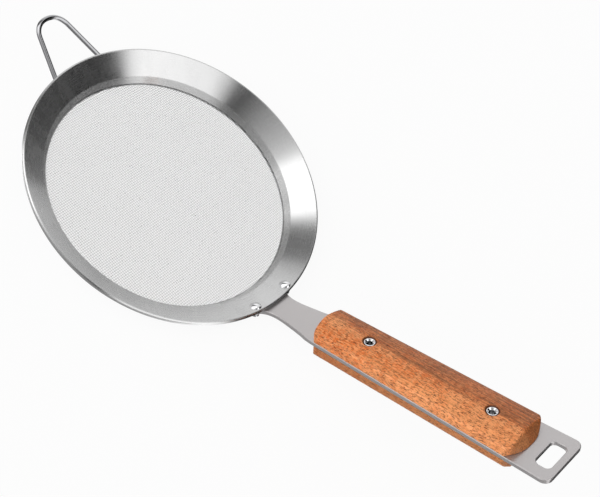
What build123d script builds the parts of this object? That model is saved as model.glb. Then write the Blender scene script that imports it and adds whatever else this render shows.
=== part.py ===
# Flat-bottomed hand sieve: a shallow steel cone with a woven wire bottom, a straight flat tang
# with two wooden scales, and a wire loop opposite the handle that hooks over a bowl's edge.
# Millimetres. The origin is the centre of the base ring's underside, +Z is the sieve's axis
# and +X points along the handle.
from build123d import *
from math import acos, atan2, cos, floor, hypot, radians, sin, sqrt, tan
import os

os.makedirs("parts", exist_ok=True)

# Rim: one pressed sheet with a cone, a steep wall below it and a turned-down lip
rim_radius = 85.0
sheet = 0.7
cone_width = 13.4
cone_angle = 32.8
lip_drop = 2.7
lip_round = 0.9
wall_drop = 4.1
wall_inset = 2.2
knee_round = 1.1

# Woven bottom, drawn as a coarse net of the same weight
net_thickness = 0.6
net_pitch = 7.2
net_bar = 0.8
net_edge_play = 0.5

# Ring that clamps the net to the wall's lower edge
clamp_sheet = 0.5
clamp_rise = 3.1
clamp_lap = 0.5
clamp_round = 0.35
clamp_play = 0.1

# Tang: a straight flat bar that passes under the lip, with a wide root for the rivets
tang_thickness = 2.5
tang_angle = 32.0
tang_reach = 179.0
tang_lip_play = 0.1
tip_half_width = 17.0
tip_round = 4.4
neck_end = 35.0
neck_end_half_width = 12.1
neck_flare = 26.0
neck_flare_half_width = 10.85
neck_middle = 16.0
neck_middle_half_width = 9.15
waist = 7.5
waist_half_width = 8.25
root_half_width = 16.2
root_flat = 5.0
root_rake = 2.2
root_inset = 2.4
root_depth = 11.0
root_corner = 3.0
tang_edge_break = 0.3

# Hanging slot across the tang's tip
slot_from_tip = 8.3
slot_width = 8.6
slot_length = 18.3
slot_corner = 3.0

# Wooden scales, one on each face of the tang
scale_start = 33.2
bare_tip = 18.8
start_bow = 4.0
end_bow = 7.4
end_bevel_run = 4.6
end_bevel_rise = 7.0
upper_front_height = 9.2
upper_front_shoulder = 7.3
upper_rear_height = 7.3
upper_rear_shoulder = 4.3
lower_front_height = 8.0
lower_front_shoulder = 6.1
lower_rear_height = 6.9
lower_rear_shoulder = 4.5
shoulder_round = 2.5

# Tubular rivets through scales and tang, sunk in counterbores
front_rivet_inset = 28.7
rear_rivet_inset = 23.8
tube_outer_radius = 2.4
tube_inner_radius = 1.75
flange_radius = 3.0
flange_thickness = 0.6
flange_round = 0.25
flange_mouth = 0.8
counterbore_radius = 3.7
counterbore_depth = 1.3
tube_play = 0.1

# Dome rivets that hold the tang's root to the cone
dome_inset = 4.1
dome_from_root_side = 4.1
dome_radius = 3.15
dome_height = 1.35
head_play = 0.05
shank_radius = 1.6
shank_play = 0.05
tail_radius = 2.2
tail_height = 0.5
tail_sink = 0.1
boss_radius = 2.6

# Wire loop opposite the handle
wire_radius = 1.4
loop_angle = 11.7
loop_reach = 29.6
loop_half_width = 16.5
loop_end_half_width = 8.1
loop_round_share = 0.95
loop_lip_play = 0.35
leg_bend = 4.0
leg_run = 8.0
weld_play = 0.1

# Reach of a cut beyond the solid that it cuts
overrun = 10.0

# Heights on the sieve's axis
net_low = clamp_sheet
net_high = net_low + net_thickness
knee_height = net_high + wall_drop
cone_slope = tan(radians(cone_angle))
corner_height = knee_height + cone_width * cone_slope
lip_low = corner_height - lip_drop

# Radii of the rim's upper face
knee_radius = rim_radius - cone_width
wall_radius = knee_radius - wall_inset
wall_angle = atan2(wall_drop, wall_inset)
wall_outer_radius = wall_radius + sheet / sin(wall_angle)


def cone_top(radius):
    """Height of the cone's upper face at a radius."""
    return knee_height + (radius - knee_radius) * cone_slope


# Places along the tang
scale_end = tang_reach - bare_tip
front_rivet_place = scale_start + front_rivet_inset
rear_rivet_place = scale_end - rear_rivet_inset

# Plane of the tang's upper face, with X along the tang and its origin under the lip
tang_rise = radians(tang_angle)
tang_plane = Plane(
    origin=(rim_radius, 0, lip_low - tang_lip_play),
    x_dir=(cos(tang_rise), 0, sin(tang_rise)),
    z_dir=(-sin(tang_rise), 0, cos(tang_rise)),
)


def tang_half_width(place):
    """Half width of the tang between the neck's end and the tip."""
    share = (place - neck_end) / (tang_reach - neck_end)
    return neck_end_half_width + share * (tip_half_width - neck_end_half_width)


def face_plane(side):
    """Face of the tang that carries a scale: side 1 is the upper face and -1 the lower."""
    drop = tang_thickness * (1 - side) / 2
    return Plane(
        origin=tang_plane.origin - tang_plane.z_dir * drop,
        x_dir=tang_plane.x_dir,
        z_dir=tang_plane.z_dir * side,
    )


def cross_plane(side, place):
    """Plane square to the tang at a place along it, with Y pointing away from the tang's face."""
    face = face_plane(side)
    return Plane(origin=face.origin + face.x_dir * place, x_dir=face.y_dir, z_dir=face.x_dir)


def length_plane(plane, place):
    """Plane through a rivet's axis, with X along the given plane's X and Y along its normal."""
    return Plane(origin=plane.origin + plane.x_dir * place, x_dir=plane.x_dir, z_dir=-plane.y_dir)


# Radius of the sphere that a dome rivet's head is cut from
dome_sphere_radius = (dome_radius ** 2 + dome_height ** 2) / (dome_height + dome_height)

# Planes on the cone's upper face, one for each dome rivet, with Z along the rivet
dome_half_spacing = root_half_width - dome_from_root_side
dome_plan_radius = rim_radius - dome_inset
dome_turn = atan2(dome_half_spacing, sqrt(dome_plan_radius ** 2 - dome_half_spacing ** 2))


def dome_plane(side):
    """Plane of a dome rivet, on the side of the handle that the sign gives."""
    turn = side * dome_turn
    tilt = radians(cone_angle)
    return Plane(
        origin=(dome_plan_radius * cos(turn), dome_plan_radius * sin(turn), cone_top(dome_plan_radius)),
        x_dir=(cos(tilt) * cos(turn), cos(tilt) * sin(turn), sin(tilt)),
        z_dir=(-sin(tilt) * cos(turn), -sin(tilt) * sin(turn), cos(tilt)),
    )


def depth_to_tang(plane, below):
    """Distance down a rivet's axis to a level below the tang's upper face."""
    height = (plane.origin - tang_plane.origin).dot(tang_plane.z_dir) + below
    return height / plane.z_dir.dot(tang_plane.z_dir)


def tail_depth(plane):
    """Distance down a rivet's axis to its tail's seat, sunk so that the skewed face holds all of it."""
    skew = acos(plane.z_dir.dot(tang_plane.z_dir))
    return depth_to_tang(plane, tang_thickness) - tail_radius * tan(skew) - tail_sink


# Pressed rim
with BuildPart() as rim:
    with BuildSketch(Plane.XZ):
        with BuildLine():
            FilletPolyline(
                (wall_radius - sheet / tan(wall_angle), net_high - sheet),
                (knee_radius, knee_height),
                (rim_radius, corner_height),
                (rim_radius, lip_low),
                radius=[knee_round, lip_round],
            )
            offset(amount=sheet, side=Side.RIGHT, kind=Kind.INTERSECTION)
        make_face()
    revolve(axis=Axis.Z)
    split(bisect_by=Plane.XY.offset(net_high), keep=Keep.TOP)
    for side in (-1, 1):
        with BuildSketch(dome_plane(side)):
            Circle(shank_radius + shank_play)
        extrude(amount=sheet + dome_height, both=True, mode=Mode.SUBTRACT)
rim.part.label = "rim"
export_step(rim.part, "parts/rim.step")

# Woven bottom as one flat net, with the gaps that a circle inside the clamp leaves open
net_radius = wall_outer_radius - net_edge_play
mesh_opening_radius = wall_radius - clamp_lap
net_gap = net_pitch - net_bar
net_rows = range(-floor(mesh_opening_radius / net_pitch), floor(mesh_opening_radius / net_pitch) + 1)
net_places = [
    (row * net_pitch, column * net_pitch)
    for row in net_rows
    for column in net_rows
    if hypot(row, column) * net_pitch < mesh_opening_radius
]
with BuildSketch(Plane.XY.offset(net_low)) as net_gaps:
    with Locations(net_places):
        Rectangle(net_gap, net_gap)
    Circle(mesh_opening_radius, mode=Mode.INTERSECT)
print("net gaps", len(net_gaps.sketch.faces()))
with BuildPart() as mesh_screen:
    with BuildSketch(Plane.XY.offset(net_low)):
        Circle(net_radius)
        add(net_gaps.sketch, mode=Mode.SUBTRACT)
    extrude(amount=net_thickness)
mesh_screen.part.label = "mesh_screen"
export_step(mesh_screen.part, "parts/mesh_screen.step")

# Clamp ring: a flange under the net and a band round the wall
clamp_corner_radius = wall_outer_radius + clamp_play / sin(wall_angle) - net_thickness / tan(wall_angle)
clamp_top_radius = clamp_corner_radius + clamp_rise / tan(wall_angle)
with BuildPart() as clamp_ring:
    with BuildSketch(Plane.XZ):
        with BuildLine():
            FilletPolyline(
                (mesh_opening_radius, net_low),
                (clamp_corner_radius, net_low),
                (clamp_top_radius, net_low + clamp_rise),
                radius=clamp_round,
            )
            offset(amount=clamp_sheet, side=Side.RIGHT, kind=Kind.INTERSECTION)
        make_face()
    revolve(axis=Axis.Z)
clamp_ring.part.label = "clamp_ring"
export_step(clamp_ring.part, "parts/clamp_ring.step")

# Tang: plan outline of one half, mirrored, with a boss under each dome rivet
shoulder_half_width = root_half_width - root_flat
with BuildPart() as tang:
    with BuildSketch(tang_plane) as tang_plan:
        with BuildLine():
            Polyline(
                (-root_depth, 0),
                (-root_depth, root_half_width),
                (-root_inset - root_rake, root_half_width),
                (-root_inset, shoulder_half_width),
            )
            Spline(
                (-root_inset, shoulder_half_width),
                (waist, waist_half_width),
                (neck_middle, neck_middle_half_width),
                (neck_flare, neck_flare_half_width),
                (neck_end, neck_end_half_width),
                tangents=[(1, -1), (tang_reach - neck_end, tip_half_width - neck_end_half_width)],
            )
            Polyline((neck_end, neck_end_half_width), (tang_reach, tip_half_width), (tang_reach, 0))
            mirror(about=Plane.XZ)
        make_face()
        root_edge = root_half_width - root_corner
        fillet([v for v in tang_plan.vertices() if v.X < waist and abs(v.Y) > root_edge], radius=root_corner)
        fillet(tang_plan.vertices().group_by(Axis.X)[-1], radius=tip_round)
        with Locations((tang_reach - slot_from_tip, 0)):
            RectangleRounded(slot_width, slot_length, slot_corner, mode=Mode.SUBTRACT)
    extrude(amount=-tang_thickness)
    tang_axis = Axis(tang_plane.origin, tang_plane.z_dir)
    tang_faces = tang.faces().sort_by(tang_axis)
    chamfer(tang_faces[-1].edges() + tang_faces[0].edges(), length=tang_edge_break)
    with BuildSketch(tang_plane):
        with Locations((front_rivet_place, 0), (rear_rivet_place, 0)):
            Circle(tube_outer_radius + tube_play)
    extrude(amount=-tang_thickness, mode=Mode.SUBTRACT)
    for side in (-1, 1):
        with BuildSketch(dome_plane(side).offset(-sheet)):
            Circle(boss_radius)
        extrude(amount=sheet - depth_to_tang(dome_plane(side), tang_thickness / 2))
        with BuildSketch(dome_plane(side)):
            Circle(shank_radius + shank_play)
        extrude(amount=-overrun, mode=Mode.SUBTRACT)
        with BuildSketch(dome_plane(side).offset(-tail_depth(dome_plane(side)))):
            Circle(tail_radius)
        extrude(amount=-overrun, mode=Mode.SUBTRACT)
tang.part.label = "tang"
export_step(tang.part, "parts/tang.step")


# Crowns and shoulders of the scales at their front and rear ends, by the side of the tang
crown_heights = {
    1: (upper_front_height, upper_rear_height),
    -1: (lower_front_height, lower_rear_height),
}
shoulder_heights = {
    1: (upper_front_shoulder, upper_rear_shoulder),
    -1: (lower_front_shoulder, lower_rear_shoulder),
}
side_y = max(tip_half_width, neck_end_half_width)
bevel_lean = end_bevel_run / end_bevel_rise


def floor_height(side, place):
    """Height of a counterbore's floor above the tang's face."""
    front_height, rear_height = crown_heights[side]
    share = (place - scale_start) / (scale_end - scale_start)
    return front_height + share * (rear_height - front_height) - counterbore_depth


# Scales: a loft between two crowned sections, cut to the plan's arcs and bevelled at the rear
for name, side in (("upper_scale", 1), ("lower_scale", -1)):
    face = face_plane(side)
    reach_height = sum(crown_heights[side])
    with BuildPart() as scale:
        for place, height, shoulder in zip(
            (scale_start, scale_end), crown_heights[side], shoulder_heights[side]
        ):
            half_width = tang_half_width(place)
            with BuildSketch(cross_plane(side, place)) as section:
                with BuildLine():
                    Polyline(
                        (-half_width, shoulder), (-half_width, 0), (half_width, 0), (half_width, shoulder)
                    )
                    ThreePointArc((half_width, shoulder), (0, height), (-half_width, shoulder))
                make_face()
                fillet([v for v in section.vertices() if v.Y > 0], radius=shoulder_round)
        loft()
        with BuildSketch(face):
            with BuildLine():
                ThreePointArc(
                    (scale_start + start_bow, side_y), (scale_start, 0), (scale_start + start_bow, -side_y)
                )
                Line((scale_start + start_bow, -side_y), (scale_end - end_bow, -side_y))
                ThreePointArc(
                    (scale_end - end_bow, -side_y), (scale_end, 0), (scale_end - end_bow, side_y)
                )
                Line((scale_end - end_bow, side_y), (scale_start + start_bow, side_y))
            make_face()
        extrude(amount=reach_height, both=True, mode=Mode.INTERSECT)
        with BuildSketch(length_plane(face, 0)):
            with BuildLine():
                Polyline(
                    (scale_end + overrun * bevel_lean, -overrun),
                    (scale_end + overrun, -overrun),
                    (scale_end + overrun, end_bevel_rise + overrun),
                    (scale_end - (end_bevel_rise + overrun) * bevel_lean, end_bevel_rise + overrun),
                    close=True,
                )
            make_face()
        extrude(amount=side_y, both=True, mode=Mode.SUBTRACT)
        with BuildSketch(face):
            with Locations((front_rivet_place, 0), (rear_rivet_place, 0)):
                Circle(tube_outer_radius + tube_play)
        extrude(amount=reach_height, mode=Mode.SUBTRACT)
        for place in (front_rivet_place, rear_rivet_place):
            with BuildSketch(face.offset(floor_height(side, place))):
                with Locations((place, 0)):
                    Circle(counterbore_radius)
            extrude(amount=overrun, mode=Mode.SUBTRACT)
    scale.part.label = name
    export_step(scale.part, "parts/" + name + ".step")

# Tubular rivets, flared at both ends into the counterbores
for name, place in (("front_tube_rivet", front_rivet_place), ("rear_tube_rivet", rear_rivet_place)):
    with BuildPart() as tube_rivet:
        upper_seat = floor_height(1, place)
        lower_seat = -tang_thickness - floor_height(-1, place)
        with BuildSketch(length_plane(tang_plane, place)) as tube_section:
            with BuildLine():
                Polyline(
                    (tube_outer_radius, lower_seat),
                    (tube_outer_radius, upper_seat),
                    (flange_radius, upper_seat),
                    (flange_radius, upper_seat + flange_thickness),
                    (tube_inner_radius + flange_mouth, upper_seat + flange_thickness),
                    (tube_inner_radius, upper_seat + flange_thickness - flange_mouth),
                    (tube_inner_radius, lower_seat - flange_thickness + flange_mouth),
                    (tube_inner_radius + flange_mouth, lower_seat - flange_thickness),
                    (flange_radius, lower_seat - flange_thickness),
                    (flange_radius, lower_seat),
                    close=True,
                )
            make_face()
            fillet(tube_section.vertices().group_by(Axis.X)[-1], radius=flange_round)
        revolve(axis=Axis(tube_section.workplanes[0].origin, tang_plane.z_dir))
    tube_rivet.part.label = name
    export_step(tube_rivet.part, "parts/" + name + ".step")

# Dome rivets, headed on the cone and closed against the tang's underside
for name, side in (("left_dome_rivet", 1), ("right_dome_rivet", -1)):
    with BuildPart() as dome_rivet:
        axis_plane = dome_plane(side)
        seat_depth = tail_depth(axis_plane)
        with BuildSketch(length_plane(axis_plane, 0)):
            with BuildLine():
                RadiusArc((0, head_play + dome_height), (dome_radius, head_play), dome_sphere_radius)
                Polyline(
                    (dome_radius, head_play),
                    (shank_radius, head_play),
                    (shank_radius, -seat_depth),
                    (tail_radius - shank_play, -seat_depth),
                    (tail_radius - shank_play, -seat_depth - tail_height),
                    (0, -seat_depth - tail_height),
                    (0, head_play + dome_height),
                )
            make_face()
        revolve(axis=Axis(axis_plane.origin, axis_plane.z_dir))
    dome_rivet.part.label = name
    export_step(dome_rivet.part, "parts/" + name + ".step")

# Wire loop: each leg lies along the cone's underside, bends under the lip and runs outward
loop_slope = tan(radians(loop_angle))
wire_drop = (sheet + wire_radius + weld_play) / cos(radians(cone_angle))
leg_height = lip_low - loop_lip_play - wire_radius / cos(radians(loop_angle))
bend_inset = (corner_height - wire_drop - leg_height) / (cone_slope - loop_slope)
bend_radius = rim_radius - bend_inset
loop_taper = (loop_half_width - loop_end_half_width) / loop_reach
bend_y = loop_half_width + bend_inset * loop_taper
bend_x = -sqrt(bend_radius ** 2 - bend_y ** 2)
bend_height = cone_top(bend_radius) - wire_drop
corner_x = -rim_radius - loop_reach * cos(radians(loop_angle))
loop_corner_height = bend_height + (bend_x - corner_x) * loop_slope
leg = Vector(bend_x - corner_x, bend_y - loop_end_half_width, bend_height - loop_corner_height)
leg_end_x = bend_x + leg_run * leg.X / leg.length
leg_end_y = bend_y + leg_run * leg.Y / leg.length
corner_turn = acos(leg.Y / leg.length)
loop_round = loop_round_share * loop_end_half_width / tan(corner_turn / 2)
leg_end_height = cone_top(hypot(leg_end_x, leg_end_y)) - wire_drop
with BuildPart() as hanging_loop:
    with BuildLine() as loop_path:
        FilletPolyline(
            (leg_end_x, -leg_end_y, leg_end_height),
            (bend_x, -bend_y, bend_height),
            (corner_x, -loop_end_half_width, loop_corner_height),
            (corner_x, loop_end_half_width, loop_corner_height),
            (bend_x, bend_y, bend_height),
            (leg_end_x, leg_end_y, leg_end_height),
            radius=[leg_bend, loop_round, loop_round, leg_bend],
        )
    with BuildSketch(Plane(origin=loop_path.line @ 0, z_dir=loop_path.line % 0)):
        Circle(wire_radius)
    sweep()
hanging_loop.part.label = "hanging_loop"
export_step(hanging_loop.part, "parts/hanging_loop.step")
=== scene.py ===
from math import acos, atan2, ceil, cos, pi, radians, sin, sqrt, tan

import bpy
from bpy.props import FloatProperty, FloatVectorProperty, IntProperty, PointerProperty
from bpy.types import Operator, Panel, PropertyGroup
from mathutils import Matrix, Quaternion, Vector


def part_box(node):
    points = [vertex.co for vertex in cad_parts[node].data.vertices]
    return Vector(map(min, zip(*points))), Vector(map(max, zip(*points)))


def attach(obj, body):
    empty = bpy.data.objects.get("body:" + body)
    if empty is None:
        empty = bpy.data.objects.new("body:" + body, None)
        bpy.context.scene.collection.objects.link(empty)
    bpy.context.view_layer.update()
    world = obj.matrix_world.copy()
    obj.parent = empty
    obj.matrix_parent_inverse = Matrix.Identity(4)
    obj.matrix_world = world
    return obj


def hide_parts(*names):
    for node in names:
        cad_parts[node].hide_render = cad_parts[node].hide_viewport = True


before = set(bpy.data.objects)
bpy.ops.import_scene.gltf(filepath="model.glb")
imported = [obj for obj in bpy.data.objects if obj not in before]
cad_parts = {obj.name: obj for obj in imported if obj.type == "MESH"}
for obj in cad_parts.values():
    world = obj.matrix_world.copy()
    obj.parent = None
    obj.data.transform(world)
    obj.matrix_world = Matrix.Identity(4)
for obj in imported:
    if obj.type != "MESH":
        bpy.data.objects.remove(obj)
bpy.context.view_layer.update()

bl_info = {
    "name": "Hand Sieve",
    "version": (1, 0, 0),
    "blender": (4, 5, 0),
    "location": "3D View > Sidebar > Sieve",
    "description": "Builds the dressed pieces of a hand sieve with a wooden handle round its frame",
    "category": "Add Mesh",
}

# The frame's box, and the sizes that the pieces take from it
RIM_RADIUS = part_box("rim")[1].x
NET_LOW, NET_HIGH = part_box("mesh_screen")
BODY = "root"
MM = 0.001

# Vertices nearer than this are one, and faces that meet at less than this angle are shaded smooth
WELD = 0.001 * MM
SMOOTH_BELOW = radians(40)


def length(name, description, default):
    """A size in metres, shown with its unit."""
    return FloatProperty(
        name=name, description=description, default=default, min=0.0, unit="LENGTH", precision=5
    )


def turn(name, description, degrees):
    """An angle, kept in radians."""
    return FloatProperty(name=name, description=description, default=radians(degrees), unit="ROTATION")


def colour(name, description, default):
    """A linear colour."""
    return FloatVectorProperty(
        name=name, description=description, default=default, size=3, subtype="COLOR", min=0.0, max=1.0
    )


class SieveRimSizes(PropertyGroup):
    """The pressed rim and the ring that clamps the cloth under it."""

    sheet: length("Sheet", "Thickness of the rim's sheet", 0.7 * MM)
    cone_width: length("Cone width", "Width of the cone in plan", 13.4 * MM)
    cone_angle: turn("Cone angle", "Rise of the cone from the level", 32.8)
    lip_drop: length("Lip drop", "Height of the turned-down lip", 2.7 * MM)
    lip_round: length("Lip round", "Radius of the lip's upper corner", 0.9 * MM)
    wall_drop: length("Wall drop", "Height of the steep wall below the cone", 4.1 * MM)
    wall_inset: length("Wall inset", "How far the wall leans in as it goes down", 2.2 * MM)
    knee_round: length("Knee round", "Radius between the wall and the cone", 1.1 * MM)
    clamp_sheet: length("Clamp sheet", "Thickness of the clamp ring", 0.5 * MM)
    clamp_rise: length("Clamp rise", "Height of the clamp ring's band", 3.1 * MM)
    clamp_lap: length("Clamp lap", "Width of the clamp ring's flange inside the wall", 0.5 * MM)
    clamp_round: length("Clamp round", "Inner radius of the clamp ring's corner", 0.35 * MM)
    clamp_play: length("Clamp play", "Room between the band and the wall", 0.1 * MM)
    segments: IntProperty(name="Segments", description="Faces round a full turn", default=288, min=24)


class SieveScreenSizes(PropertyGroup):
    """The woven cloth."""

    pitch: length("Pitch", "Distance from one wire to the next", 1.25 * MM)
    wire_radius: length("Wire radius", "Radius of the cloth's wire", 0.15 * MM)
    edge_play: length("Edge play", "How far the cut edge stays inside the frame's cloth", 0.1 * MM)


class SieveHandleSizes(PropertyGroup):
    """The tang's line, the soft edges of the scales, and the rivets."""

    tang_angle: turn("Tang angle", "Rise of the tang from the level", 32.0)
    tang_lip_play: length("Tang play", "Room between the tang and the lip", 0.1 * MM)
    voxel: length("Edge softness", "Grain of the mesh that softens the wood's edges", 0.4 * MM)
    front_place: length("Front rivet", "Place of the front tube rivet along the tang", 61.9 * MM)
    rear_place: length("Rear rivet", "Place of the rear tube rivet along the tang", 136.4 * MM)
    # The bore radius also sets the ring of painted shade round each tube rivet on the wood
    bore_radius: length("Bore radius", "Radius of the hole that a tube rivet's end sits in", 3.7 * MM)
    bevel_place: length("Bevel place", "Place along the tang where the scales' end bevel starts", 155.6 * MM)


class SieveLoopSizes(PropertyGroup):
    """The bent wire opposite the handle."""

    wire_radius: length("Wire radius", "Radius of the loop's wire", 1.4 * MM)
    angle: turn("Loop angle", "Rise of the loop from the level", 11.7)
    reach: length("Reach", "Length of the loop beyond the rim", 29.6 * MM)
    half_width: length("Half width", "Half the loop's width at the rim", 16.5 * MM)
    end_half_width: length("End half width", "Half the loop's width at its end", 8.1 * MM)
    round_share: FloatProperty(
        name="Round share", description="Share of the end that is rounded", default=0.95, max=1.0
    )
    lip_play: length("Lip play", "Room between the wire and the lip", 0.35 * MM)
    bend: length("Leg bend", "Radius where a leg meets the cone", 4.0 * MM)
    run: length("Leg run", "Length of a leg along the cone", 8.0 * MM)
    weld_play: length("Weld play", "Room between the wire and the cone", 0.1 * MM)
    sides: IntProperty(name="Sides", description="Sides of the wire's round section", default=18, min=8)


class SieveFinish(PropertyGroup):
    """Colours of the finishes."""

    steel: colour("Steel", "Brushed steel of the rim", (0.58, 0.58, 0.58))
    satin: colour("Satin", "Satin steel of the tang", (0.49, 0.47, 0.47))
    # The loop's polished steel is darker than the rivets' as painted shade, standing in for the dark
    # surroundings it mirrors
    bright: colour("Bright", "Polished steel of the wire loop", (0.38, 0.38, 0.39))
    rivet: colour("Rivet", "Polished steel of the rivets", (0.74, 0.74, 0.75))
    cloth: colour("Cloth", "Wire of the cloth", (0.72, 0.72, 0.72))
    wood: colour("Wood", "Main colour of the wood", (0.76, 0.175, 0.034))
    # The light wood also gives the painted highlight on the near side
    wood_light_and_highlight: colour("Light wood", "Colour of the wood's lighter flecks", (0.92, 0.36, 0.135))
    # The dark wood also gives the painted shade on the far side, under the tang and on the end bevel
    wood_dark_and_shade: colour("Dark wood", "Colour of the wood's browner side", (0.24, 0.085, 0.026))
    # The pores' colour also gives the painted shade in the rivets' holes
    pore_and_bore_shade: colour("Pore", "Colour of the wood's open pores", (0.07, 0.020, 0.007))
    floor: colour("Floor", "Colour of the floor", (0.94, 0.94, 0.94))


class SieveStage(PropertyGroup):
    """Camera, floor and light."""

    camera_place: FloatVectorProperty(
        name="Camera place", description="Where the camera stands", unit="LENGTH",
        default=(0.13608, -0.44317, 0.60824), precision=5,
    )
    camera_target: FloatVectorProperty(
        name="Camera target", description="Point at the middle of the picture", unit="LENGTH",
        default=(0.075015, -0.00662, 0.064461), precision=6,
    )
    camera_roll: turn("Camera roll", "Turn of the camera about its line of sight", 43.745)
    lens: FloatProperty(name="Lens", description="Focal length in millimetres", default=83.56)
    floor_size: length("Floor size", "Side of the square floor", 6.0)
    panel_peak: FloatProperty(name="Panel peak", description="Strength of the brightest panel", default=2.4)
    top_level: FloatProperty(
        name="Top level", description="Light that level faces mirror to the camera", default=0.9
    )
    low_level: FloatProperty(name="Low level", description="Mirrored light from low in front", default=0.45)
    window_peak: FloatProperty(name="Window", description="Strength that the soft light adds", default=1.9)
    room_level: FloatProperty(name="Room level", description="Plain light from all round", default=0.42)
    floor_white_share: FloatProperty(
        name="Floor white", description="Share of the floor's colour that shadows don't reach", default=0.92
    )


class Flow:
    """One value in a shader tree, with arithmetic that adds Math nodes."""

    def __init__(self, shader, socket):
        self.shader = shader
        self.socket = socket

    def maths(self, operation, first, second):
        """Adds one Math node."""
        return self.shader.node("ShaderNodeMath", {"operation": operation}, {0: first, 1: second})

    def __add__(self, other):
        return self.maths("ADD", self, other)

    def __sub__(self, other):
        return self.maths("SUBTRACT", self, other)

    def __mul__(self, other):
        return self.maths("MULTIPLY", self, other)

    def __truediv__(self, other):
        return self.maths("DIVIDE", self, other)

    def __radd__(self, other):
        return self.maths("ADD", other, self)

    def __rsub__(self, other):
        return self.maths("SUBTRACT", other, self)

    def __rmul__(self, other):
        return self.maths("MULTIPLY", other, self)


class Shader:
    """A material's or the world's node tree."""

    def __init__(self, owner):
        owner.use_nodes = True
        self.tree = owner.node_tree
        self.tree.nodes.clear()

    def node(self, kind, settings=None, inputs=None, output=0):
        """Adds a node: its settings first, then the values or links of its sockets."""
        made = self.tree.nodes.new(kind)
        for name, value in (settings or {}).items():
            if name == "stops":
                self.stops(made.color_ramp, value)
            else:
                setattr(made, name, value)
        for name, value in (inputs or {}).items():
            socket = made.inputs[name]
            if isinstance(value, Flow):
                self.tree.links.new(value.socket, socket)
            else:
                socket.default_value = value
        return Flow(self, made.outputs[output] if made.outputs else None)

    @staticmethod
    def stops(ramp, stops):
        """Sets a ramp's stops, each a place and a grey."""
        while len(ramp.elements) < len(stops):
            ramp.elements.new(0.5)
        for element, (place, grey) in zip(ramp.elements, stops):
            element.position = place
            element.color = (grey, grey, grey, 1.0)

    def coordinates(self):
        """Object coordinates."""
        return self.node("ShaderNodeTexCoord", output=3)

    def parts(self, vector):
        """The X, Y and Z of a vector."""
        split = self.node("ShaderNodeSeparateXYZ", {}, {0: vector})
        return [Flow(self, socket) for socket in split.socket.node.outputs]

    def vector(self, x, y, z):
        """A vector of three values."""
        return self.node("ShaderNodeCombineXYZ", {}, {0: x, 1: y, 2: z})

    def noise(self, vector, detail=2.0, roughness=0.5, distortion=0.0, scale=1.0):
        """Noise from 0 to 1, read at the places that a vector gives."""
        values = {
            "Vector": vector, "Scale": scale, "Detail": detail,
            "Roughness": roughness, "Distortion": distortion,
        }
        return self.node("ShaderNodeTexNoise", {}, values)

    def between(self, value, low, high, out_low=0.0, out_high=1.0):
        """A value mapped smoothly from one range to another, held at its ends."""
        values = {0: value, 1: low, 2: high, 3: out_low, 4: out_high}
        return self.node("ShaderNodeMapRange", {"interpolation_type": "SMOOTHSTEP"}, values)

    def root(self, value):
        """The square root of a value."""
        return self.node("ShaderNodeMath", {"operation": "SQRT"}, {0: value})

    def mix(self, share, first, second):
        """A colour between two others."""
        values = {"Factor": share}
        made = self.node("ShaderNodeMix", {"data_type": "RGBA"}, values, output=2)
        for socket, value in zip(made.socket.node.inputs[6:8], (first, second)):
            if isinstance(value, Flow):
                self.tree.links.new(value.socket, socket)
            else:
                socket.default_value = (*value, 1.0)
        return made

    def bump(self, height, strength, distance):
        """A normal that follows a height, one unit of which is a distance in metres."""
        values = {"Strength": strength, "Distance": distance, "Height": height}
        return self.node("ShaderNodeBump", {}, values)

    def surface(self, inputs):
        """The Principled shader and the material's output."""
        shader = self.node("ShaderNodeBsdfPrincipled", {}, inputs)
        self.node("ShaderNodeOutputMaterial", {}, {"Surface": shader})


def new_material(name):
    """An empty material and its node tree."""
    made = bpy.data.materials.new(name)
    return made, Shader(made)


def dimmed(tint, share):
    """A share of a colour."""
    return tuple(channel * share for channel in tint)


def brushed_material(name, base, streak_depth, roughness):
    """Steel brushed round the axis, with fine rings of scratches."""
    made, shader = new_material(name)
    x, y, z = shader.parts(shader.coordinates())
    radius = shader.root(x * x + y * y)
    angle = shader.node("ShaderNodeMath", {"operation": "ARCTAN2"}, {0: y, 1: x})
    rings = shader.noise(shader.vector(radius * 9000.0, angle * 6.0, z * 9000.0), 3.0, 0.7)
    hairs = shader.noise(shader.vector(radius * 3200.0, angle * 22.0, z * 3200.0), 2.0, 0.6)
    sweep = shader.noise(shader.vector(radius * 60.0, angle * 9.0, 0.0), 2.0, 0.5)
    dark = dimmed(base, 1 - streak_depth)
    shader.surface(
        {
            "Base Color": shader.mix(rings * 0.6 + hairs * 0.4, dark, base),
            "Metallic": 1.0,
            "Roughness": shader.between(rings + sweep, 0.4, 1.6, roughness - 0.04, roughness + 0.05),
            "Anisotropic": 1.0,
            "Anisotropic Rotation": 0.25,
            "Normal": shader.bump(rings + hairs, 0.12, 0.00002),
        }
    )
    return made


def tang_coordinates(shader, sizes):
    """Places along, across and off the tang's upper face from the rim on, in millimetres."""
    lip_low = heights(bpy.context.scene.sieve_rim)["lip_low"]
    settings = {"vector_type": "TEXTURE"}
    values = {
        "Vector": shader.coordinates(),
        "Location": (RIM_RADIUS, 0.0, lip_low - sizes.tang_lip_play),
        "Rotation": (0.0, -sizes.tang_angle, 0.0),
        "Scale": (MM, MM, MM),
    }
    return shader.parts(shader.node("ShaderNodeMapping", settings, values))


def drawn_out(shader, places, along, across, *looks, shift=0.0):
    """Noise of so many waves a millimetre along the tang and across it.

    The looks are its detail, roughness and distortion.
    """
    x, y, z = places
    return shader.noise(shader.vector(x * along + shift, y * across, z * across), *looks)


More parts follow.
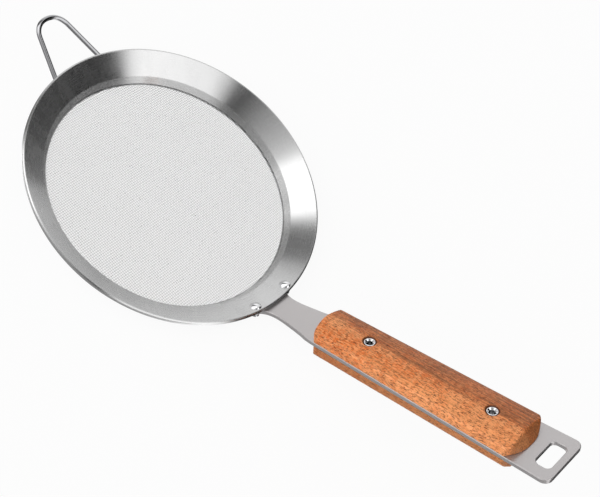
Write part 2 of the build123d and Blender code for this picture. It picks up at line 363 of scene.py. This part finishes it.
def satin_material(finish, sizes):
    """Satin steel with faint scratches along the tang."""
    made, shader = new_material("satin_steel")
    places = tang_coordinates(shader, sizes)
    hairs = drawn_out(shader, places, 0.12, 9.0, 3.0, 0.65)
    scratches = drawn_out(shader, places, 0.05, 3.0, 2.0, 0.5)
    cloud = drawn_out(shader, places, 0.05, 0.09, 2.0, 0.5)
    base = tuple(finish.satin)
    tint = shader.mix(hairs * 0.55 + cloud * 0.45, dimmed(base, 0.88), base)
    shader.surface(
        {
            "Base Color": tint,
            "Metallic": 0.8,
            "Roughness": shader.between(hairs + cloud, 0.4, 1.6, 0.30, 0.40),
            "Normal": shader.bump(hairs + scratches * 0.5, 0.10, 0.00002),
        }
    )
    return made


def bright_material(name, base):
    """Polished steel, faintly hazy and wavy."""
    made, shader = new_material(name)
    where = shader.coordinates()
    haze = shader.noise(where, 3.0, 0.6, scale=420.0)
    wave = shader.noise(where, 1.0, 0.5, scale=90.0)
    shader.surface(
        {
            "Base Color": shader.mix(haze, dimmed(base, 0.93), base),
            "Metallic": 1.0,
            "Roughness": shader.between(haze, 0.2, 0.8, 0.10, 0.17),
            "Normal": shader.bump(wave, 0.08, 0.0002),
        }
    )
    return made


def cloth_material(finish):
    """Bright drawn wire, a little uneven from place to place."""
    made, shader = new_material("cloth_wire")
    where = shader.coordinates()
    patch = shader.noise(where, 2.0, 0.5, scale=38.0)
    speck = shader.noise(where, 1.0, 0.5, scale=1400.0)
    base = tuple(finish.cloth)
    shader.surface(
        {
            "Base Color": shader.mix(patch * 0.6 + speck * 0.4, dimmed(base, 0.86), base),
            "Metallic": 1.0,
            "Roughness": shader.between(speck, 0.2, 0.8, 0.26, 0.38),
        }
    )
    return made


def wood_material(finish, sizes):
    """Open-pored orange-brown wood with its grain along the handle, painted shade on the far side, under the
    tang and round the rivets, and painted highlights on the near side.
    """
    made, shader = new_material("handle_wood")
    places = tang_coordinates(shader, sizes)
    x, y, z = places
    wood, light, dark = tuple(finish.wood), tuple(finish.wood_light_and_highlight), tuple(finish.wood_dark_and_shade)
    pore_and_bore_shade = tuple(finish.pore_and_bore_shade)

    # Patterns, from the broadest to the finest
    bend = drawn_out(shader, places, 0.03, 0.08, 2.0, 0.5)
    bands = shader.noise(shader.vector(x * 0.02, y * 0.42 + bend * 3.0, z * 0.40), 3.0, 0.55, 0.3)
    ripple = drawn_out(shader, places, 0.30, 0.07, 2.0, 0.55, 0.5)
    streaks = drawn_out(shader, places, 0.045, 1.15, 3.0, 0.70, 0.3)
    sparks = drawn_out(shader, places, 0.30, 1.00, 2.0, 0.6, 0.6, shift=70.0)
    flecks = drawn_out(shader, places, 0.40, 1.55, 2.0, 0.6, 0.3)
    pores = drawn_out(shader, places, 0.60, 2.2, 1.0, 0.5, shift=30.0)

    # Painted shade makes the far side browner, with more dark streaks and fewer light flecks, and painted
    # highlights make the near side paler towards the rear and at the ridge at the front
    side = shader.between(y + bend * 6.0 + x * 0.045, 5.0, 10.5)
    # Painted highlights towards the rear of the near side and at the ridge at the front
    rear_painted_highlight = shader.between(x - y * 4.0, 80.0, 170.0)
    ridge_painted_highlight = shader.between(x, 100.0, 70.0) * shader.between(y, -6.0, 0.0)
    painted_highlight = (rear_painted_highlight + ridge_painted_highlight) * (1.0 - side)
    rippled = shader.between(ripple, 0.46, 0.58) * (0.50 - side * 0.30)
    tone = shader.mix(side * 0.42 + shader.between(bands, 0.50, 0.64) * 0.34, wood, dark)
    tone = shader.mix(shader.between(sparks, 0.50, 0.58) * (0.86 - side * 0.56), tone, light)
    # Lighter ripples in the grain, and the painted highlight on the near side
    tone = shader.mix(rippled + painted_highlight * 0.70, tone, light)
    tone = shader.mix(shader.between(streaks, 0.47, 0.58) * (0.24 + side * 0.52), tone, dark)
    tone = shader.mix(shader.between(flecks, 0.52, 0.62) * 0.58, tone, dark)
    pore_share = shader.between(pores, 0.60, 0.66)
    tone = shader.mix(pore_share * 0.75, tone, pore_and_bore_shade)

    # Painted shade: the lower scale under the tang is browner, the end bevel is darker as end grain and as
    # painted shade, and each rivet sits in a ring of painted shade
    under = shader.between(z, 0.0, -2.5)
    bevel_start = sizes.bevel_place / MM
    bevel = shader.between(x, bevel_start, bevel_start + 1.0)
    tone = shader.mix(under * 0.60 + bevel * (1.0 - under) * 0.45, tone, dark)
    bore = sizes.bore_radius / MM
    # A ring of painted shade in each rivet's hole, in the pores' colour
    for rivet_place in (sizes.front_place, sizes.rear_place):
        off_rivet = x - rivet_place / MM
        reach = shader.root(off_rivet * off_rivet + y * y)
        tone = shader.mix(shader.between(reach, bore + 0.35, bore - 0.15) * 0.88, tone, pore_and_bore_shade)
    height = streaks * 0.3 - pore_share - shader.between(flecks, 0.53, 0.62) * 0.4
    shader.surface(
        {
            "Base Color": tone,
            "Roughness": shader.between(streaks + pore_share, 0.3, 1.4, 0.34, 0.62),
            "Specular IOR Level": 0.25,
            "Coat Weight": 0.08,
            "Coat Roughness": 0.28,
            "Normal": shader.bump(height, 0.45, 0.00016),
        }
    )
    return made


def select_only(*objects):
    """Leaves these objects selected and the last one active."""
    bpy.ops.object.select_all(action="DESELECT")
    for item in objects:
        item.select_set(True)
        bpy.context.view_layer.objects.active = item


def coat(piece, material):
    """Gives a piece one material in place of any it has."""
    piece.data.materials.clear()
    piece.data.materials.append(material)


def finish_piece(piece, name, material, replaced):
    """Names a finished piece, gives it its material and rides it on the frame in place of a node."""
    select_only(piece)
    bpy.ops.object.transform_apply(location=True, rotation=True, scale=True)
    piece.name = name
    piece.data.name = name
    coat(piece, material)
    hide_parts(replaced)
    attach(piece, BODY)


def rounded(points, radii, steps=6):
    """A line of points with an arc of each radius in place of each inner corner."""
    line = [Vector(points[0])]
    for before, corner, after, radius in zip(points, points[1:], points[2:], radii):
        corner = Vector(corner)
        back = (Vector(before) - corner).normalized()
        on = (Vector(after) - corner).normalized()
        half = back.angle(on) / 2
        reach = radius / tan(half)
        middle = corner + (back + on).normalized() * (radius / sin(half))
        start = corner + back * reach - middle
        end = corner + on * reach - middle
        sweep = start.angle(end)
        for step in range(steps + 1):
            share = step / steps
            arm = start * sin((1 - share) * sweep) + end * sin(share * sweep)
            line.append(middle + arm / sin(sweep))
    line.append(Vector(points[-1]))
    return line


def beside(points, distance):
    """A line at a distance to the right of a line of points, with its corners kept sharp."""
    points = [Vector(point) for point in points]
    sides = []
    for first, second in zip(points, points[1:]):
        ahead = (second - first).normalized()
        sides.append(Vector((ahead.y, -ahead.x)))
    line = [points[0] + sides[0] * distance]
    for corner, left, right in zip(points[1:], sides, sides[1:]):
        line.append(corner + (left + right) * distance / (1 + left.dot(right)))
    line.append(points[-1] + sides[-1] * distance)
    return line


def turned(profile, segments):
    """A ring turned about the Z axis from a closed profile of radii and heights."""
    first = profile[0]
    bpy.ops.object.select_all(action="DESELECT")
    bpy.ops.mesh.primitive_circle_add(vertices=segments, radius=first[0], location=(0, 0, first[1]))
    piece = bpy.context.object
    bpy.ops.object.transform_apply(location=True)
    bpy.ops.object.mode_set(mode="EDIT")
    bpy.ops.mesh.select_mode(type="EDGE")
    bpy.ops.mesh.select_all(action="SELECT")
    for (radius, height), (next_radius, next_height) in zip(profile, profile[1:] + [first]):
        bpy.ops.mesh.extrude_edges_move(TRANSFORM_OT_translate={"value": (0, 0, next_height - height)})
        share = next_radius / radius
        bpy.ops.transform.resize(value=(share, share, 1.0), center_override=(0, 0, next_height))
    bpy.ops.mesh.select_all(action="SELECT")
    bpy.ops.mesh.remove_doubles(threshold=WELD)
    bpy.ops.mesh.normals_make_consistent(inside=False)
    bpy.ops.object.mode_set(mode="OBJECT")
    bpy.ops.object.shade_smooth_by_angle(angle=SMOOTH_BELOW)
    return piece


def heights(rim):
    """Heights, radii and slants of the rim's section, from the cloth up."""
    slope = tan(rim.cone_angle)
    knee = NET_HIGH.z + rim.wall_drop
    corner = knee + rim.cone_width * slope
    knee_radius = RIM_RADIUS - rim.cone_width
    wall_radius = knee_radius - rim.wall_inset
    lean = atan2(rim.wall_drop, rim.wall_inset)
    return {
        "slope": slope,
        "knee": knee,
        "corner": corner,
        "lip_low": corner - rim.lip_drop,
        "knee_radius": knee_radius,
        "wall_radius": wall_radius,
        "wall_lean": lean,
        "wall_outer": wall_radius + rim.sheet / sin(lean),
    }


def cone_top(rim, radius):
    """Height of the cone's upper face at a radius."""
    level = heights(rim)
    return level["knee"] + (radius - level["knee_radius"]) * level["slope"]


class SIEVE_OT_rim(Operator):
    """Turn the pressed rim: wall, cone and lip in one sheet"""

    bl_idname = "sieve.rim"
    bl_label = "Rim"

    def execute(self, context):
        rim = context.scene.sieve_rim
        finish = context.scene.sieve_finish
        level = heights(rim)
        upper = [
            (level["wall_radius"], NET_HIGH.z),
            (level["knee_radius"], level["knee"]),
            (RIM_RADIUS, level["corner"]),
            (RIM_RADIUS, level["lip_low"]),
        ]
        under = beside(upper, rim.sheet)
        under[0] = Vector((level["wall_outer"], NET_HIGH.z))
        radii = (rim.knee_round, rim.lip_round)
        inner = tuple(radius - rim.sheet for radius in radii)
        profile = rounded(upper, radii) + rounded(under, inner)[::-1]
        piece = turned([(point.x, point.y) for point in profile], rim.segments)
        material = brushed_material("brushed_steel", tuple(finish.steel), streak_depth=0.16, roughness=0.26)
        finish_piece(piece, "rim_shell", material, "rim")
        return {"FINISHED"}


class SIEVE_OT_clamp(Operator):
    """Turn the ring that clamps the cloth under the rim"""

    bl_idname = "sieve.clamp"
    bl_label = "Clamp Ring"

    def execute(self, context):
        rim = context.scene.sieve_rim
        finish = context.scene.sieve_finish
        level = heights(rim)
        lean = level["wall_lean"]
        inner_radius = level["wall_radius"] - rim.clamp_lap
        net_thickness = NET_HIGH.z - NET_LOW.z
        corner_radius = level["wall_outer"] + rim.clamp_play / sin(lean) - net_thickness / tan(lean)
        inner = [
            (inner_radius, NET_LOW.z),
            (corner_radius, NET_LOW.z),
            (corner_radius + rim.clamp_rise / tan(lean), NET_LOW.z + rim.clamp_rise),
        ]
        outer = beside(inner, rim.clamp_sheet)
        outer_line = rounded(outer, (rim.clamp_round + rim.clamp_sheet,))
        profile = rounded(inner, (rim.clamp_round,)) + outer_line[::-1]
        piece = turned([(point.x, point.y) for point in profile], rim.segments)
        material = brushed_material("clamp_steel", tuple(finish.steel), streak_depth=0.12, roughness=0.28)
        finish_piece(piece, "clamp_band", material, "clamp_ring")
        return {"FINISHED"}


def woven_wires(screen, radius):
    """Wires along X that wave over and under, each against the next, over a square round a circle."""
    pitch = screen.pitch
    wire = screen.wire_radius
    bpy.ops.object.select_all(action="DESELECT")
    bpy.ops.mesh.primitive_circle_add(vertices=4, radius=wire, rotation=(0, pi / 2, 0))
    row = bpy.context.object
    bpy.ops.object.transform_apply(rotation=True)
    bpy.ops.object.mode_set(mode="EDIT")
    bpy.ops.mesh.select_mode(type="EDGE")
    bpy.ops.mesh.select_all(action="SELECT")
    for rise in (wire, -wire, -wire, wire):
        bpy.ops.mesh.extrude_edges_move(TRANSFORM_OT_translate={"value": (pitch / 2, 0, rise)})
    bpy.ops.object.mode_set(mode="OBJECT")
    periods = ceil(radius / pitch)
    repeat(row, periods, (2 * pitch, 0, 0))
    select_only(row)
    bpy.ops.object.duplicate()
    other = bpy.context.object
    other.location = (pitch, pitch, 0)
    bpy.ops.object.transform_apply(location=True)
    select_only(other, row)
    bpy.ops.object.join()
    repeat(row, periods, (0, 2 * pitch, 0))
    row.location = (-periods * pitch, -periods * pitch, 0)
    bpy.ops.object.transform_apply(location=True)
    return row


def repeat(piece, count, step):
    """Copies a piece in a row and joins the copies where they meet."""
    select_only(piece)
    array = piece.modifiers.new("Row", "ARRAY")
    array.use_relative_offset = False
    array.use_constant_offset = True
    array.constant_offset_displace = step
    array.count = count
    array.use_merge_vertices = True
    array.merge_threshold = WELD
    bpy.ops.object.modifier_apply(modifier=array.name)


def keep_where(piece, wanted):
    """Deletes the vertices whose places aren't wanted, closes the cut ends and shades the rest smooth."""
    select_only(piece)
    bpy.ops.object.mode_set(mode="EDIT")
    bpy.ops.mesh.select_mode(type="VERT")
    bpy.ops.mesh.select_all(action="DESELECT")
    bpy.ops.object.mode_set(mode="OBJECT")
    for vertex in piece.data.vertices:
        vertex.select = not wanted(vertex.co)
    bpy.ops.object.mode_set(mode="EDIT")
    bpy.ops.mesh.delete(type="VERT")
    bpy.ops.mesh.select_all(action="SELECT")
    bpy.ops.mesh.fill_holes(sides=8)
    bpy.ops.mesh.normals_make_consistent(inside=False)
    bpy.ops.object.mode_set(mode="OBJECT")
    bpy.ops.object.shade_smooth()


class SIEVE_OT_screen(Operator):
    """Weave the cloth, wire over wire, in two halves each way"""

    bl_idname = "sieve.screen"
    bl_label = "Woven Screen"

    def execute(self, context):
        screen = context.scene.sieve_screen
        material = cloth_material(context.scene.sieve_finish)
        radius = NET_HIGH.x - screen.edge_play
        middle = (NET_LOW.z + NET_HIGH.z) / 2
        half_pitch = screen.pitch / 2
        between_wires = Matrix.Translation((0, half_pitch, middle))
        crossing = Matrix.Translation((half_pitch, half_pitch, 0)) @ Matrix.Rotation(pi / 2, 4, "Z")
        for way, across, placed in (("warp", 1, Matrix()), ("weft", 0, crossing)):
            for half, side in (("left", 1), ("right", -1)):
                piece = woven_wires(screen, radius)
                piece.data.transform(between_wires @ placed)
                keep_where(piece, lambda at: at.xy.length < radius and side * at[across] >= 0)
                finish_piece(piece, "screen_" + way + "_" + half, material, "mesh_screen")
        return {"FINISHED"}


class SIEVE_OT_scales(Operator):
    """Soften the edges of the two wooden scales"""

    bl_idname = "sieve.scales"
    bl_label = "Wooden Scales"

    def execute(self, context):
        sizes = context.scene.sieve_handle
        material = wood_material(context.scene.sieve_finish, sizes)
        for node, name in (("upper_scale", "upper_grip"), ("lower_scale", "lower_grip")):
            select_only(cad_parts[node])
            bpy.ops.object.duplicate()
            piece = bpy.context.object
            for key in list(piece.keys()):
                if key.startswith("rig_"):
                    del piece[key]
            piece.parent = None
            bpy.ops.object.mode_set(mode="EDIT")
            bpy.ops.mesh.select_all(action="SELECT")
            bpy.ops.mesh.remove_doubles(threshold=WELD)
            bpy.ops.object.mode_set(mode="OBJECT")
            remesh = piece.modifiers.new("Grain", "REMESH")
            remesh.mode = "VOXEL"
            remesh.voxel_size = sizes.voxel
            bpy.ops.object.modifier_apply(modifier=remesh.name)
            soften = piece.modifiers.new("Soften", "SMOOTH")
            soften.factor = 0.5
            soften.iterations = 4
            bpy.ops.object.modifier_apply(modifier=soften.name)
            bpy.ops.object.shade_smooth()
            finish_piece(piece, name, material, node)
        return {"FINISHED"}


class SIEVE_OT_tang(Operator):
    """Finish the tang in satin steel"""

    bl_idname = "sieve.tang"
    bl_label = "Tang"

    def execute(self, context):
        material = satin_material(context.scene.sieve_finish, context.scene.sieve_handle)
        coat(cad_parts["tang"], material)
        return {"FINISHED"}


class SIEVE_OT_rivets(Operator):
    """Finish the tube rivets and the dome rivets in polished steel"""

    bl_idname = "sieve.rivets"
    bl_label = "Rivets"

    def execute(self, context):
        material = bright_material("rivet_steel", tuple(context.scene.sieve_finish.rivet))
        for node in ("front_tube_rivet", "rear_tube_rivet", "left_dome_rivet", "right_dome_rivet"):
            coat(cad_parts[node], material)
        return {"FINISHED"}


class SIEVE_OT_loop(Operator):
    """Bend the wire loop and its two legs"""

    bl_idname = "sieve.loop"
    bl_label = "Wire Loop"

    def execute(self, context):
        rim = context.scene.sieve_rim
        loop = context.scene.sieve_loop
        level = heights(rim)
        slope = tan(loop.angle)
        drop = (rim.sheet + loop.wire_radius + loop.weld_play) / cos(rim.cone_angle)
        leg_height = level["lip_low"] - loop.lip_play - loop.wire_radius / cos(loop.angle)
        inset = (level["corner"] - drop - leg_height) / (level["slope"] - slope)
        bend_y = loop.half_width + inset * (loop.half_width - loop.end_half_width) / loop.reach
        bend_x = -sqrt((RIM_RADIUS - inset) ** 2 - bend_y ** 2)
        bend = Vector((bend_x, bend_y, cone_top(rim, RIM_RADIUS - inset) - drop))
        corner_x = -RIM_RADIUS - loop.reach * cos(loop.angle)
        corner = Vector((corner_x, loop.end_half_width, bend.z + (bend.x - corner_x) * slope))
        leg = bend - corner
        end = bend + leg * (loop.run / leg.length)
        end.z = cone_top(rim, Vector(end[:2]).length) - drop
        round_radius = loop.round_share * loop.end_half_width / tan(acos(leg.y / leg.length) / 2)
        half = [end, bend, corner]
        across = [Vector((point.x, -point.y, point.z)) for point in half]
        radii = (loop.bend, round_radius, round_radius, loop.bend)
        line = rounded(across + half[::-1], radii, 16)
        curve = bpy.data.curves.new("wire_loop", "CURVE")
        curve.dimensions = "3D"
        spline = curve.splines.new("POLY")
        spline.points.add(len(line) - 1)
        for point, place in zip(spline.points, line):
            point.co = (*place, 1.0)
        curve.bevel_depth = loop.wire_radius
        # A round bevel has four sides, and two more for each step of its resolution
        curve.bevel_resolution = (loop.sides - 4) // 2
        curve.use_fill_caps = True
        piece = bpy.data.objects.new("wire_loop", curve)
        context.scene.collection.objects.link(piece)
        select_only(piece)
        bpy.ops.object.convert(target="MESH")
        bpy.ops.object.shade_smooth_by_angle(angle=SMOOTH_BELOW)
        # The loop's steel is darker than the rivets' steel, as painted shade
        material = bright_material("loop_steel", tuple(context.scene.sieve_finish.bright))
        finish_piece(bpy.context.object, "wire_loop", material, "hanging_loop")
        return {"FINISHED"}


def soft_light(shader, heading, azimuth, elevation, inner, outer):
    """1 within an angle of a direction, falling smoothly to 0 at a wider one, all in degrees."""
    round_by = radians(azimuth)
    up_by = radians(elevation)
    middle = (cos(up_by) * cos(round_by), cos(up_by) * sin(round_by), sin(up_by))
    settings = {"operation": "DOT_PRODUCT"}
    nearness = shader.node("ShaderNodeVectorMath", settings, {0: heading, 1: middle}, output=1)
    return shader.between(nearness, cos(radians(outer)), cos(radians(inner)))


# Panels round the sieve: the turn from the handle, in degrees, at which the cone shows each to the
# camera, and its brightness as a share of the brightest
STUDIO_PANELS = (
    (-180, 0.004), (-124, 0.004), (-118, 0.03), (-113, 0.26), (-106, 0.33), (-60, 0.41), (0, 0.54),
    (10, 0.46), (19, 0.33), (24, 0.12), (38, 0.09), (43, 0.35), (48, 1.0), (70, 1.0), (75, 0.5),
    (82, 0.34), (95, 0.18), (103, 0.05), (109, 0.01), (114, 0.45), (118, 0.68), (150, 0.8), (156, 0.62),
    (162, 0.06), (166, 0.004), (180, 0.004),
)


def ray_kinds(shader):
    """Whether a ray comes from the camera, a reflection or a transmission."""
    paths = shader.node("ShaderNodeLightPath").socket.node.outputs
    return [Flow(shader, paths[f"Is {kind} Ray"]) for kind in ("Camera", "Glossy", "Transmission")]


def studio_world(stage):
    """A soft studio: white to the camera, with bright panels and dark gaps between them for the steel."""
    world = bpy.data.worlds.new("studio")
    bpy.context.scene.world = world
    shader = Shader(world)
    heading = shader.node("ShaderNodeTexCoord", output=0)
    x, y, z = shader.parts(heading)
    front = Vector(stage.camera_place).normalized()
    lean_x = x + front.x
    lean_y = y + front.y
    round_turn = shader.node("ShaderNodeMath", {"operation": "ARCTAN2"}, {0: 0.0 - lean_y, 1: 0.0 - lean_x})
    stops = [(0.5 + degrees / 360, grey) for degrees, grey in STUDIO_PANELS]
    panels = shader.node("ShaderNodeValToRGB", {"stops": stops}, {0: round_turn / (2 * pi) + 0.5})
    sides = shader.between(shader.root(lean_x * lean_x + lean_y * lean_y), 0.10, 0.30)
    low = shader.between(y, -0.05, -0.4) * shader.between(z, 0.4, 0.12)
    lit = panels * stage.panel_peak * (1.0 - low) + low * stage.low_level
    mirrored = stage.top_level + (lit - stage.top_level) * sides
    window = soft_light(shader, heading, azimuth=-112, elevation=30, inner=14, outer=52)
    soft = window * stage.window_peak + stage.room_level
    camera, glossy, through = ray_kinds(shader)
    reflected = glossy + through
    strength = camera + (1.0 - camera) * (reflected * mirrored + (1.0 - reflected) * soft)
    back = shader.node("ShaderNodeBackground", {}, {"Color": (1, 1, 1, 1), "Strength": strength})
    shader.node("ShaderNodeOutputWorld", {}, {"Surface": back})


def floor_material(finish, white_share):
    """A pale floor that is white to the camera and keeps the object's shadow."""
    made, shader = new_material("pale_floor")
    camera, glossy, through = ray_kinds(shader)
    share = (camera + glossy + through) * white_share
    matt = shader.node("ShaderNodeBsdfDiffuse", {}, {"Color": (*finish.floor, 1.0)})
    white = shader.node("ShaderNodeEmission", {}, {"Color": (1, 1, 1, 1), "Strength": 1.0})
    blend = shader.node("ShaderNodeMixShader", {}, {0: share, 1: matt, 2: white})
    shader.node("ShaderNodeOutputMaterial", {}, {"Surface": blend})
    return made


class SIEVE_OT_stage(Operator):
    """Set the floor, the light and the camera"""

    bl_idname = "sieve.stage"
    bl_label = "Stage"

    def execute(self, context):
        stage = context.scene.sieve_stage
        bpy.ops.object.select_all(action="DESELECT")
        bpy.ops.mesh.primitive_plane_add(size=stage.floor_size)
        floor = bpy.context.object
        floor.name = "floor"
        coat(floor, floor_material(context.scene.sieve_finish, stage.floor_white_share))
        floor.visible_glossy = False
        studio_world(stage)
        bpy.ops.object.camera_add(location=stage.camera_place)
        camera = bpy.context.object
        sight = Vector(stage.camera_target) - Vector(stage.camera_place)
        camera.rotation_mode = "QUATERNION"
        level = sight.to_track_quat("-Z", "Y")
        camera.rotation_quaternion = level @ Quaternion((0, 0, 1), stage.camera_roll)
        camera.data.lens = stage.lens
        camera.data.clip_start = 10 * MM
        context.scene.camera = camera
        context.scene.view_settings.view_transform = "Standard"
        return {"FINISHED"}


STEPS = (
    SIEVE_OT_rim,
    SIEVE_OT_clamp,
    SIEVE_OT_screen,
    SIEVE_OT_scales,
    SIEVE_OT_tang,
    SIEVE_OT_rivets,
    SIEVE_OT_loop,
    SIEVE_OT_stage,
)

SETTINGS = {
    "sieve_rim": SieveRimSizes,
    "sieve_screen": SieveScreenSizes,
    "sieve_handle": SieveHandleSizes,
    "sieve_loop": SieveLoopSizes,
    "sieve_finish": SieveFinish,
    "sieve_stage": SieveStage,
}


class SIEVE_PT_panel(Panel):
    """Lists the sieve's pieces and their sizes"""

    bl_label = "Hand Sieve"
    bl_idname = "SIEVE_PT_panel"
    bl_space_type = "VIEW_3D"
    bl_region_type = "UI"
    bl_category = "Sieve"

    def draw(self, context):
        for step in STEPS:
            self.layout.operator(step.bl_idname)
        for name, group in SETTINGS.items():
            box = self.layout.box()
            for key in group.__annotations__:
                box.prop(getattr(context.scene, name), key)


def register():
    for group in SETTINGS.values():
        bpy.utils.register_class(group)
    for name, group in SETTINGS.items():
        setattr(bpy.types.Scene, name, PointerProperty(type=group))
    for step in STEPS:
        bpy.utils.register_class(step)
    bpy.utils.register_class(SIEVE_PT_panel)


def unregister():
    bpy.utils.unregister_class(SIEVE_PT_panel)
    for step in reversed(STEPS):
        bpy.utils.unregister_class(step)
    for name, group in SETTINGS.items():
        delattr(bpy.types.Scene, name)
        bpy.utils.unregister_class(group)


def main():
    """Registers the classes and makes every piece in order."""
    register()
    for step in STEPS:
        group, name = step.bl_idname.split(".")
        getattr(getattr(bpy.ops, group), name)()


if __name__ == "__main__":
    main()
